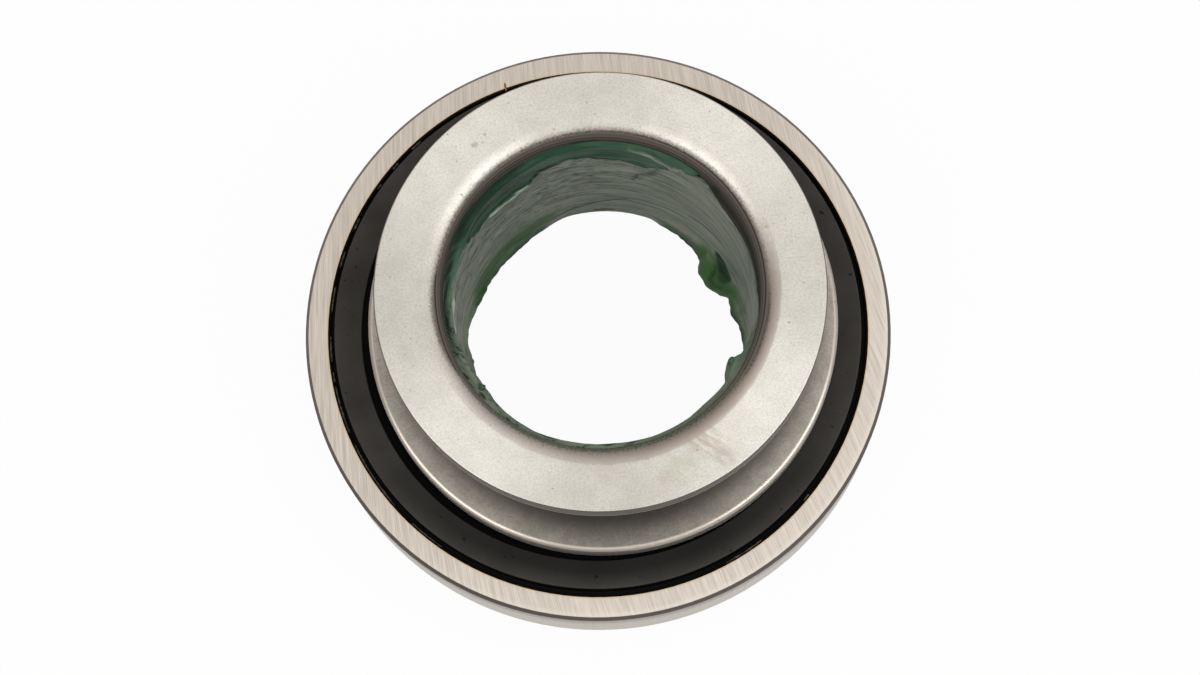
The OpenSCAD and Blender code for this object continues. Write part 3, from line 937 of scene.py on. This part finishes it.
def floor():
    """A white floor that keeps a faint shadow."""
    f = Finish("floor_finish")
    tint = f.noise(3, 2)
    f.set(Base_Color=f.mix(tint, (0.80, 0.80, 0.80), (0.83, 0.83, 0.83)), Roughness=0.9)
    glow = f.nodes.new("ShaderNodeEmission")
    path = f.nodes.new("ShaderNodeLightPath")
    mirrored = f.math("MAXIMUM", path.outputs["Is Glossy Ray"], path.outputs["Is Transmission Ray"])
    glow_share = f.math("MAXIMUM", f.math("MULTIPLY", path.outputs["Is Camera Ray"], FLOOR_GLOW),
                        f.math("MULTIPLY", mirrored, FLOOR_GLOW_IN_METAL))
    blend = f.nodes.new("ShaderNodeMixShader")
    f.links.new(glow_share, blend.inputs[0])
    f.links.new(f.surface.outputs[0], blend.inputs[1])
    f.links.new(glow.outputs[0], blend.inputs[2])
    f.links.new(blend.outputs[0], f.nodes["Material Output"].inputs[0])
    mesh = bpy.data.meshes.new("floor")
    half = FLOOR_SIZE / 2
    corners = [(-half, -half, 0), (half, -half, 0), (half, half, 0), (-half, half, 0)]
    mesh.from_pydata(corners, [], [(0, 1, 2, 3)])
    mesh.materials.append(f.material)
    piece = bpy.data.objects.new("floor", mesh)
    bpy.context.scene.collection.objects.link(piece)


# The room's light by direction: a colour for each cosine of the angle to LIGHT_FROM, where it is brightest
LIGHT_FROM = Vector((0.22, -0.20, 0.95)).normalized()
LIGHT_LEVELS = [(-0.10, (0.22, 0.195, 0.18)), (0.33, (0.47, 0.44, 0.415)), (0.59, (0.73, 0.70, 0.675)),
                (0.76, (0.86, 0.845, 0.825)), (0.83, (0.94, 0.93, 0.915)), (0.90, (1.04, 1.03, 1.015)),
                (1.00, (1.10, 1.09, 1.075))]
# The levels are divided by this strength, because a ramp's colours end at 1
LIGHT_STRENGTH = 1.2
# Place and power of each lamp, in metres and watts
LAMPS = [(Vector((-0.36, -0.20, 0.57)), 0.95), (Vector((0.36, -0.20, 0.57)), 0.85)]
LAMP_SIZE = (0.40, 0.30)


def room_light():
    """A room that is pale overhead and darker towards its walls."""
    world = bpy.data.worlds.new("studio")
    bpy.context.scene.world = world
    world.use_nodes = True
    nodes, links = world.node_tree.nodes, world.node_tree.links
    direction = nodes.new("ShaderNodeTexCoord")
    towards = nodes.new("ShaderNodeVectorMath")
    towards.operation = "DOT_PRODUCT"
    links.new(direction.outputs["Generated"], towards.inputs[0])
    towards.inputs[1].default_value = LIGHT_FROM
    least = LIGHT_LEVELS[0][0]
    share = nodes.new("ShaderNodeMapRange")
    share.inputs["From Min"].default_value = least
    links.new(towards.outputs["Value"], share.inputs["Value"])
    ramp = nodes.new("ShaderNodeValToRGB")
    links.new(share.outputs[0], ramp.inputs[0])
    stops = ramp.color_ramp.elements
    while len(stops) < len(LIGHT_LEVELS):
        stops.new(0.5)
    for stop, (cosine, colour) in zip(stops, LIGHT_LEVELS):
        stop.position = (cosine - least) / (1 - least)
        stop.color = (*(c / LIGHT_STRENGTH for c in colour), 1)
    background = nodes["Background"]
    links.new(ramp.outputs[0], background.inputs["Color"])
    background.inputs["Strength"].default_value = LIGHT_STRENGTH


def soft_lamp(place, power):
    """A broad lamp that faces the part."""
    lamp = bpy.data.lights.new("soft_lamp", "AREA")
    lamp.shape = "RECTANGLE"
    lamp.size, lamp.size_y = LAMP_SIZE
    lamp.energy = power
    holder = bpy.data.objects.new("soft_lamp", lamp)
    bpy.context.scene.collection.objects.link(holder)
    holder.location = place
    holder.rotation_euler = place.to_track_quat("Z", "Y").to_euler()


floor()
room_light()
for lamp_place, lamp_power in LAMPS:
    soft_lamp(lamp_place, lamp_power)
bpy.context.scene.view_settings.view_transform = "Standard"
